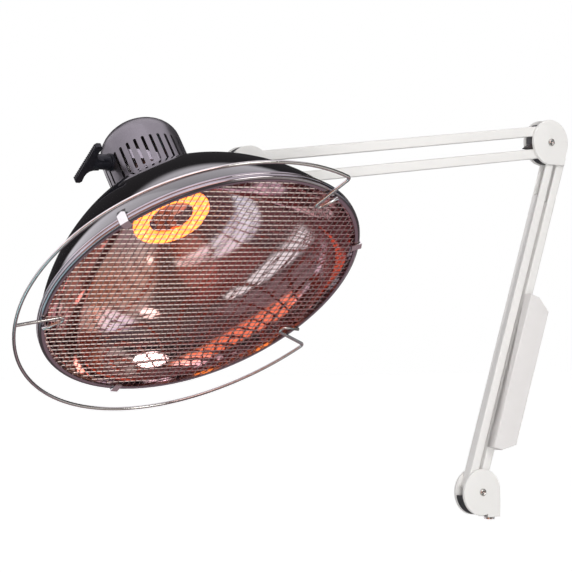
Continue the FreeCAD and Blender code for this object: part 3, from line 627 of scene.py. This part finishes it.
# ------------------------------------------------------------------ pieces shaped here

# Millimetres in the head's own frame. Insets run in from the rim's outside. Spans, seats and flanges are
# pairs of heights above the plane of the mouth, and openings are radii.
FLANGE_INSET = 1.6
DOME_INSET, DOME_SPAN, DOME_WALL = 2.6, (6.4, 131.0), 1.2
REFLECTOR_INSET, REFLECTOR_SPAN, REFLECTOR_WALL = 7.4, (3.2, 122.0), 0.8
DOME_OPENING, REFLECTOR_OPENING = 37.6, 37.0
DOME_SEAT, REFLECTOR_SEAT = (130.5, 131.6), (121.5, 122.2)
DOME_FLANGE, REFLECTOR_FLANGE = (4.5, 5.6), (2.7, 3.3)
DOME_LIP = ((1.3, 6.2), (2.2, 5.5), (2.2, 4.5))  # distance in from the dome's edge, and height
DOME_SHOULDER = 0.6  # distance out from the wall's inside, at its top
REFLECTOR_LIP = (1.2, -0.2)  # distances in from the reflector's edge, below and above its flange

# The rim's section: distance in from its outside, and height.
RIM_WIDTH = 6.6
RIM_SECTION = (
    (RIM_WIDTH, -2.4), (6.2, -2.6), (3.6, -2.6), (1.9, -2.3), (0.7, -1.5), (0.1, -0.3),
    (0.0, 0.6), (0.2, 1.4), (0.8, 1.9), (0.8, 2.5), (0.2, 3.0), (0.0, 3.8), (0.1, 4.8),
    (0.6, 5.6), (1.0, 5.8), (1.4, 5.6), (1.4, -0.8), (RIM_WIDTH, -0.8),
)

# Each run of the guard: the two heights that it crimps between, and its radius as a share of the thickness.
GUARD_RUNS = (((1.02, 1.14), 0.57), ((0.3, 0.42), 0.5))
GUARD_SIDES = 6
GUARD_END = 1.0  # least distance from a wire's last crimp to its end

# Ribs of the T bar: length of their row, place out from the head's axis, height, and one rib's size.
RIB_ROW, RIB_OUT, RIB_HEIGHT = 51.2, -81.9, 168.0
RIB_SIZE = (1.1, 1.5, 5.0)
FLAT_WITHIN = math.radians(1.0)


class HEATLAMP_OT_dome(bpy.types.Operator):
    """Gloss enamelled outer dome"""

    bl_idname = "heatlamp.dome"
    bl_label = "Dome"

    def execute(self, context):
        sizes = context.scene.heat_lamp_sizes
        rim, depth = sizes.rim_radius / MM, sizes.dome_depth / MM
        outer, inner = bowl_outline(sizes, rim - DOME_INSET, depth, DOME_SPAN, DOME_WALL)
        edge, shoulder = outer[0][0], inner[-1][0] + DOME_SHOULDER
        low, high = DOME_SEAT
        seat = [(shoulder, high), (DOME_OPENING, high), (DOME_OPENING, low)]
        lip = [(edge - inset, height) for inset, height in DOME_LIP]
        flange = [(rim - FLANGE_INSET, height) for height in DOME_FLANGE]
        bm = spun_ring(outer + seat + inner[::-1] + lip + flange, sizes.turn_steps)
        show(bm, "dome", ["dome_shell"], "dome_black", sharp=40.0, place=HEAD)
        return {"FINISHED"}


class HEATLAMP_OT_reflector(bpy.types.Operator):
    """Polished bowl inside the dome"""

    bl_idname = "heatlamp.reflector"
    bl_label = "Reflector"

    def execute(self, context):
        sizes = context.scene.heat_lamp_sizes
        rim, depth = sizes.rim_radius / MM, sizes.reflector_depth / MM
        outer, inner = bowl_outline(sizes, rim - REFLECTOR_INSET, depth, REFLECTOR_SPAN, REFLECTOR_WALL)
        edge = outer[0][0]
        (low, high), (below, above) = REFLECTOR_FLANGE, REFLECTOR_LIP
        seat = [(REFLECTOR_OPENING, height) for height in reversed(REFLECTOR_SEAT)]
        flange = [(rim - FLANGE_INSET, low), (rim - FLANGE_INSET, high)]
        lip = [(edge - below, low), *flange, (edge - above, high)]
        bm = spun_ring(outer + seat + inner[::-1] + lip, sizes.turn_steps)
        show(bm, "reflector_bowl", ["reflector"], "reflector_metal", sharp=40.0, place=HEAD)
        return {"FINISHED"}


class HEATLAMP_OT_rim(bpy.types.Operator):
    """Bright rolled rim with a groove between its two beads, and the hoop of the guard"""

    bl_idname = "heatlamp.rim"
    bl_label = "Rim"

    def execute(self, context):
        sizes = context.scene.heat_lamp_sizes
        rim = sizes.rim_radius / MM
        bm = spun_ring([(rim - inset, height) for inset, height in RIM_SECTION], sizes.turn_steps)
        show(bm, "rim", ["rim_ring"], "rim_chrome", sharp=50.0, place=HEAD)
        show(node_copy("guard_ring"), "guard_hoop", ["guard_ring"], "rim_chrome", sharp=40.0)
        return {"FINISHED"}


def guard_wire(pitch, thickness, reach, row, layer):
    """One wire of the guard, from hoop to hoop, with a slight crimp at each wire that it crosses."""
    (near, far), share = GUARD_RUNS[layer]
    across = row * pitch
    half = math.sqrt(reach * reach - (abs(across) + thickness / 2) ** 2)
    numbers = range(int(-half // pitch), int(half // pitch) + 2)
    crossings = [n for n in numbers if abs(n * pitch) < half - GUARD_END]
    crimps = [(n * pitch, far if (n + row) % 2 else near) for n in crossings]
    stops = [(-half, near), *crimps, (half, near)]
    start = Matrix.Translation((stops[0][0] * MM, across * MM, stops[0][1] * MM))
    bm = bmesh.new()
    bmesh.ops.create_circle(
        bm, cap_ends=True, segments=GUARD_SIDES, radius=thickness * share * MM,
        matrix=start @ Matrix.Rotation(math.pi / 2, 4, "Y"),
    )
    face = bm.faces[:][0]
    for (x, s), (next_x, next_s) in zip(stops, stops[1:]):
        made = bmesh.ops.extrude_face_region(bm, geom=[face])["geom"]
        if x != stops[0][0]:
            bmesh.ops.delete(bm, geom=[face], context="FACES_ONLY")
        fresh = [g for g in made if isinstance(g, bmesh.types.BMVert)]
        bmesh.ops.translate(bm, vec=((next_x - x) * MM, 0, (next_s - s) * MM), verts=fresh)
        face = next(g for g in made if isinstance(g, bmesh.types.BMFace))
    mesh = bpy.data.meshes.new("wire")
    bm.to_mesh(mesh)
    bm.free()
    return mesh


def add_guard_run(guard, sizes, layer):
    """Adds one run of parallel wires. The second run lies across the first."""
    pitch, thickness = sizes.guard_pitch / MM, sizes.guard_thickness / MM
    reach = sizes.rim_radius / MM - RIM_WIDTH
    count = int(reach // pitch)
    turn = Matrix.Rotation(sizes.guard_turn + layer * math.pi / 2, 4, "Z")
    for row in range(-count, count + 1):
        wire = guard_wire(pitch, thickness, reach, row, layer)
        wire.transform(turn)
        guard.from_mesh(wire)
        bpy.data.meshes.remove(wire)


class HEATLAMP_OT_guard(bpy.types.Operator):
    """Crossed wire guard over the mouth"""

    bl_idname = "heatlamp.guard"
    bl_label = "Wire guard"

    def execute(self, context):
        sizes = context.scene.heat_lamp_sizes
        guard = bmesh.new()
        add_guard_run(guard, sizes, 0)
        first_run = len(guard.verts)
        add_guard_run(guard, sizes, 1)
        crosswise = guard.verts.layers.float.new("crosswise")
        for number, vert in enumerate(guard.verts):
            vert[crosswise] = float(number >= first_run)
        bmesh.ops.recalc_face_normals(guard, faces=guard.faces)
        show(guard, "wire_guard", ["guard_mesh"], "guard_steel", sharp=60.0, place=HEAD)
        return {"FINISHED"}


class HEATLAMP_OT_handle(bpy.types.Operator):
    """Ribbed T handle opposite the arm"""

    bl_idname = "heatlamp.handle"
    bl_label = "Handle"

    def execute(self, context):
        ribs = context.scene.heat_lamp_sizes.ribs
        bm = node_copy("handle_grip")
        bmesh.ops.dissolve_limit(bm, angle_limit=FLAT_WITHIN, verts=bm.verts, edges=bm.edges)
        size = Matrix.Diagonal((*(side * MM for side in RIB_SIZE), 1.0))
        for rib in range(ribs):
            along = -RIB_ROW / 2 + RIB_ROW * rib / (ribs - 1)
            place = Matrix.Translation((RIB_OUT * MM, along * MM, RIB_HEIGHT * MM))
            made = bmesh.ops.create_cube(bm, size=1.0)["verts"]
            bmesh.ops.transform(bm, matrix=HEAD @ place @ size, verts=made)
        show(bm, "handle", ["handle_grip"], "handle_black", sharp=30.0)
        return {"FINISHED"}


# ------------------------------------------------------------------ stage

CAMERA_PLACE = (-1.4123, -1.71412, 0.22986)
CAMERA_TURN = (math.radians(91.5), 0.0, math.radians(-33.0))
CAMERA_LENS, CAMERA_SENSOR, CAMERA_REACH = 112.09, 36.0, 100.0

AREA_LIGHTS = (  # name, place, aim, width and height, watts
    ("key", (-0.25, -2.0, 1.75), (-0.2, 0.0, 0.3), (1.2, 1.2), 21.0),
    ("low", (-1.1, -1.7, -0.3), (-0.45, -0.1, 0.3), (0.9, 0.7), 17.0),
    ("fill", (-1.45, -1.85, 0.4), (-0.25, 0.0, 0.3), (1.0, 0.9), 12.0),
    ("back", (0.6, 2.0, 1.0), (-0.2, 0.0, 0.3), (1.2, 1.2), 22.0),
    ("top", (-0.3, 0.0, 2.0), (-0.25, 0.0, 0.3), (1.6, 1.2), 9.0),
)

FLOOR_SIZE, FLOOR_HEIGHT = 20.0, -0.4
FLOOR_PALE, FLOOR_LIFT = (0.7, 0.7, 0.7, 1.0), 0.75
WHITE = (1.0, 1.0, 1.0, 1.0)

# Plain light on what isn't shiny: its levels away from and towards a compass turn, and where it changes.
PLAIN_LEVELS = (0.37, 0.14)
PLAIN_TURN, PLAIN_CHANGE = 160, (-0.2, 0.8)

# The studio that shiny pieces mirror. Levels are strengths where 1 is white, and turns and lifts are degrees.
# A pair says where a light starts and where it is full, by how far a direction points up, left or at it.
DARK_FLOOR = (0.13, 0.115, 0.118)
DARK_ROOM = (0.03, 0.028, 0.03)
HORIZON = (-0.12, 0.05)
OVERHEAD_LEVEL, OVERHEAD_TONE, OVERHEAD_RISE = 1.15, (1.0, 0.95, 1.02), (0.64, 0.74)
LEFT_LEVEL, LEFT_TURN, LEFT_START, LEFT_RISE = 1.6, 187, (0.0, 0.08), (0.22, 0.34)
SOFTBOX_CORE = 0.75
SOFTBOXES = (  # (turn, lift, half width, half height), colour
    ((-69, 11, 14, 6.4), (9.0, 9.0, 8.7)),
    ((-68, -13.5, 9, 2.2), (3.0, 2.9, 2.8)),
    ((-60, -34, 4, 2), (2.0, 1.9, 1.8)),
    ((-26, -8.5, 36, 4.5), (0.75, 0.9, 1.05)),
    ((-38, -27, 36, 25), (0.45, 0.43, 0.38)),
    ((-102, -43, 20, 17), (0.3, 0.13, 0.1)),
    ((-36, 14, 24, 15), (0.38, 0.34, 0.3)),
    ((142, 4, 42, 17), (1.3, 1.24, 1.33)),
    ((93, -5, 28, 9), (1.1, 1.06, 1.12)),
    ((-100, 17, 17, 9), (0.62, 0.44, 0.4)),
    ((23, -53, 30, 16), (0.26, 0.16, 0.19)),
)
LEAST_DOWN = 0.03
ARC_EDGE, ARC_TAPER = 0.03, 1.2
FLOOR_ARCS = (  # (centre across and deep, radius, thickness, turn of the middle, half length), colour
    ((0.5, -0.37, 1.04, 0.19, 185, 56), (1.1, 1.75, 1.95)),
    ((1.91, -1.15, 3.07, 0.19, 166, 21), (1.25, 2.1, 2.1)),
    ((1.83, -4.65, 6.05, 0.12, 124, 9.5), (0.75, 0.9, 1.05)),
    ((1.91, -1.15, 3.9, 0.75, 172, 30), (0.16, 0.17, 0.18)),
    ((1.91, -1.15, 2.84, 0.45, 184, 22), (0.14, 0.01, 0.0)),
)
WARM_BAND_POLE, WARM_BAND_WIDTH = (146.6, 59.0), 0.15
WARM_BAND_MIDDLE, WARM_BAND_ENDS = (-131, -2), (0.55, 0.75)
WARM_GLOW = (1.7, 0.58, 0.24)


def area_light(name, place, aim, size, watts):
    """A soft lamp that lights the pieces but isn't mirrored in them."""
    lamp = bpy.data.lights.new(name, "AREA")
    lamp.shape = "RECTANGLE"
    lamp.size, lamp.size_y = size
    lamp.energy = watts
    holder = bpy.data.objects.new(name, lamp)
    holder.location = place
    holder.rotation_euler = (Vector(aim) - Vector(place)).to_track_quat("-Z", "Y").to_euler()
    holder.visible_glossy = False
    bpy.context.scene.collection.objects.link(holder)


def heading(turn, lift):
    """Unit vector towards a compass turn and a lift above the horizon, in degrees."""
    turn, lift = math.radians(turn), math.radians(lift)
    return Vector((math.cos(turn) * math.cos(lift), math.sin(turn) * math.cos(lift), math.sin(lift)))


def added(tree, colour, factor, light):
    """A colour with a light added to it, as strong as the factor says."""
    made = tree.nodes.new("ShaderNodeVectorMath")
    made.operation = "MULTIPLY_ADD"
    for socket, value in zip(made.inputs, (light, factor, colour)):
        put(tree, socket, value)
    return made.outputs[0]


def softbox_shape(tree, turned, lifted, softbox):
    """1 in the middle of an oval softbox, fading to 0 at its edge."""
    turn, lift, wide, high = (math.radians(angle) for angle in softbox)
    u = maths(tree, "DIVIDE", maths(tree, "SUBTRACT", turned, turn), wide)
    v = maths(tree, "DIVIDE", maths(tree, "SUBTRACT", lifted, lift), high)
    return eased(tree, length_of(tree, u, v), SOFTBOX_CORE, 1.0, 1.0, 0.0)


def floor_arc_shape(tree, across, deep, arc):
    """1 on a crescent of the floor: inside a circle, and outside the same circle moved by its thickness."""
    x, y, radius, thick, turn, half = arc
    ahead = Vector((math.cos(math.radians(turn)), math.sin(math.radians(turn))))
    u, v = maths(tree, "SUBTRACT", across, x), maths(tree, "SUBTRACT", deep, y)
    away = length_of(tree, u, v)
    inside = eased(tree, away, radius - ARC_EDGE, radius + ARC_EDGE, 1.0, 0.0)
    back = length_of(tree, maths(tree, "ADD", u, thick * ahead.x), maths(tree, "ADD", v, thick * ahead.y))
    outside = eased(tree, back, radius - ARC_EDGE, radius + ARC_EDGE)
    forward = maths(tree, "ADD", product(tree, u, ahead.x), product(tree, v, ahead.y))
    tip, body = math.cos(math.radians(half * ARC_TAPER)), math.cos(math.radians(half))
    ends = eased(tree, maths(tree, "DIVIDE", forward, away), tip, body)
    return product(tree, product(tree, inside, outside), ends)


def studio_colour(tree, direction):
    """What the studio looks like to a shiny piece: softboxes, curved strips on the floor and a warm band."""

    def towards(turn, lift):
        return reach_along(tree, direction, heading(turn, lift))

    east, north, height = towards(0, 0), towards(90, 0), towards(0, 90)
    colour = blended(tree, eased(tree, height, *HORIZON), DARK_FLOOR, DARK_ROOM)
    overhead = eased(tree, height, *OVERHEAD_RISE, 0.0, OVERHEAD_LEVEL)
    left = eased(tree, towards(LEFT_TURN, 0), *LEFT_START, 0.0, LEFT_LEVEL)
    left = product(tree, left, eased(tree, height, *LEFT_RISE))
    colour = added(tree, colour, maths(tree, "MAXIMUM", overhead, left), OVERHEAD_TONE)
    turned = maths(tree, "ARCTAN2", north, east)
    lifted = maths(tree, "ARCSINE", height)
    for softbox, light in SOFTBOXES:
        colour = added(tree, colour, softbox_shape(tree, turned, lifted, softbox), light)
    down = maths(tree, "MAXIMUM", product(tree, height, -1.0), LEAST_DOWN)
    across, deep = maths(tree, "DIVIDE", east, down), maths(tree, "DIVIDE", north, down)
    for arc, light in FLOOR_ARCS:
        colour = added(tree, colour, floor_arc_shape(tree, across, deep, arc), light)
    off_band = maths(tree, "ABSOLUTE", towards(*WARM_BAND_POLE))
    band = eased(tree, off_band, WARM_BAND_WIDTH / 2, WARM_BAND_WIDTH, 1.0, 0.0)
    band = product(tree, band, eased(tree, towards(*WARM_BAND_MIDDLE), *WARM_BAND_ENDS))
    return added(tree, colour, band, WARM_GLOW)


def background(tree, colour=WHITE, strength=1.0):
    made = tree.nodes.new("ShaderNodeBackground")
    feed(tree, made, {"Color": colour, "Strength": strength})
    return made.outputs[0]


def mixed(tree, factor, first, second):
    made = tree.nodes.new("ShaderNodeMixShader")
    for socket, value in zip(made.inputs, (factor, first, second)):
        put(tree, socket, value)
    return made.outputs[0]


def studio_world():
    """White to the camera, a dark studio with softboxes to shiny pieces, and soft plain light to the rest."""
    world = bpy.data.worlds.new("studio")
    bpy.context.scene.world = world
    world.use_nodes = True
    tree = world.node_tree
    tree.nodes.clear()
    output = tree.nodes.new("ShaderNodeOutputWorld")
    paths = tree.nodes.new("ShaderNodeLightPath").outputs
    direction = tree.nodes.new("ShaderNodeTexCoord").outputs["Generated"]
    side = reach_along(tree, direction, heading(PLAIN_TURN, 0))
    plain = background(tree, strength=eased(tree, side, *PLAIN_CHANGE, *PLAIN_LEVELS))
    studio = background(tree, studio_colour(tree, direction))
    indoors = mixed(tree, paths["Is Glossy Ray"], plain, studio)
    unseen = maths(tree, "MAXIMUM", paths["Is Camera Ray"], paths["Is Transmission Ray"])
    tree.links.new(mixed(tree, unseen, indoors, background(tree)), output.inputs[0])


def floor_finish():
    """Pale paper that reads as white where the camera sees it, and keeps the shadow."""
    material, tree, shader = blank_material("floor_pale")
    seen = tree.nodes.new("ShaderNodeLightPath").outputs["Is Camera Ray"]
    feed(tree, shader, {
        "Base Color": FLOOR_PALE,
        "Roughness": 0.9,
        "Emission Color": WHITE,
        "Emission Strength": product(tree, seen, FLOOR_LIFT),
    })
    return material


def lay_floor(scene):
    bm = bmesh.new()
    bmesh.ops.create_grid(bm, x_segments=1, y_segments=1, size=FLOOR_SIZE)
    bmesh.ops.translate(bm, vec=(0, 0, FLOOR_HEIGHT), verts=bm.verts)
    mesh = bpy.data.meshes.new("floor")
    bm.to_mesh(mesh)
    bm.free()
    mesh.materials.append(floor_finish())
    floor = bpy.data.objects.new("floor", mesh)
    floor.visible_glossy = False
    scene.collection.objects.link(floor)


class HEATLAMP_OT_stage(bpy.types.Operator):
    """Pale floor, soft studio lights and the camera"""

    bl_idname = "heatlamp.stage"
    bl_label = "Stage"

    def execute(self, context):
        scene = context.scene
        lay_floor(scene)
        studio_world()
        for light in AREA_LIGHTS:
            area_light(*light)
        camera = bpy.data.objects.new("camera", bpy.data.cameras.new("camera"))
        camera.data.lens = CAMERA_LENS
        camera.data.sensor_width = CAMERA_SENSOR
        camera.data.clip_end = CAMERA_REACH
        camera.location = CAMERA_PLACE
        camera.rotation_euler = CAMERA_TURN
        scene.collection.objects.link(camera)
        scene.camera = camera
        scene.view_settings.view_transform = "Standard"
        return {"FINISHED"}


# ------------------------------------------------------------------ panel and registration

OPERATORS = (
    HEATLAMP_OT_finishes,
    HEATLAMP_OT_arm_bars,
    HEATLAMP_OT_joint_covers,
    HEATLAMP_OT_joint_cores,
    HEATLAMP_OT_fasteners,
    HEATLAMP_OT_control_box,
    HEATLAMP_OT_dome,
    HEATLAMP_OT_reflector,
    HEATLAMP_OT_rim,
    HEATLAMP_OT_guard,
    HEATLAMP_OT_bumper,
    HEATLAMP_OT_heater,
    HEATLAMP_OT_housing,
    HEATLAMP_OT_head_fittings,
    HEATLAMP_OT_handle,
    HEATLAMP_OT_stage,
)


class HEATLAMP_PT_sidebar(bpy.types.Panel):
    """Lists the lamp's sizes, colours and pieces"""

    bl_label = "Heat Lamp"
    bl_idname = "HEATLAMP_PT_sidebar"
    bl_space_type = "VIEW_3D"
    bl_region_type = "UI"
    bl_category = "Heat Lamp"

    def draw(self, context):
        for group in (context.scene.heat_lamp_sizes, context.scene.heat_lamp_colours):
            box = self.layout.box()
            for name in group.__annotations__:
                box.prop(group, name)
        for operator in OPERATORS:
            self.layout.operator(operator.bl_idname)


CLASSES = (HeatLampSizes, HeatLampColours, HEATLAMP_PT_sidebar) + OPERATORS


def register():
    for cls in CLASSES:
        bpy.utils.register_class(cls)
    bpy.types.Scene.heat_lamp_sizes = PointerProperty(type=HeatLampSizes)
    bpy.types.Scene.heat_lamp_colours = PointerProperty(type=HeatLampColours)


def unregister():
    del bpy.types.Scene.heat_lamp_colours
    del bpy.types.Scene.heat_lamp_sizes
    for cls in reversed(CLASSES):
        bpy.utils.unregister_class(cls)


def main():
    register()
    for operator in OPERATORS:
        getattr(bpy.ops.heatlamp, operator.bl_idname.split(".")[1])()


if __name__ == "__main__":
    main()
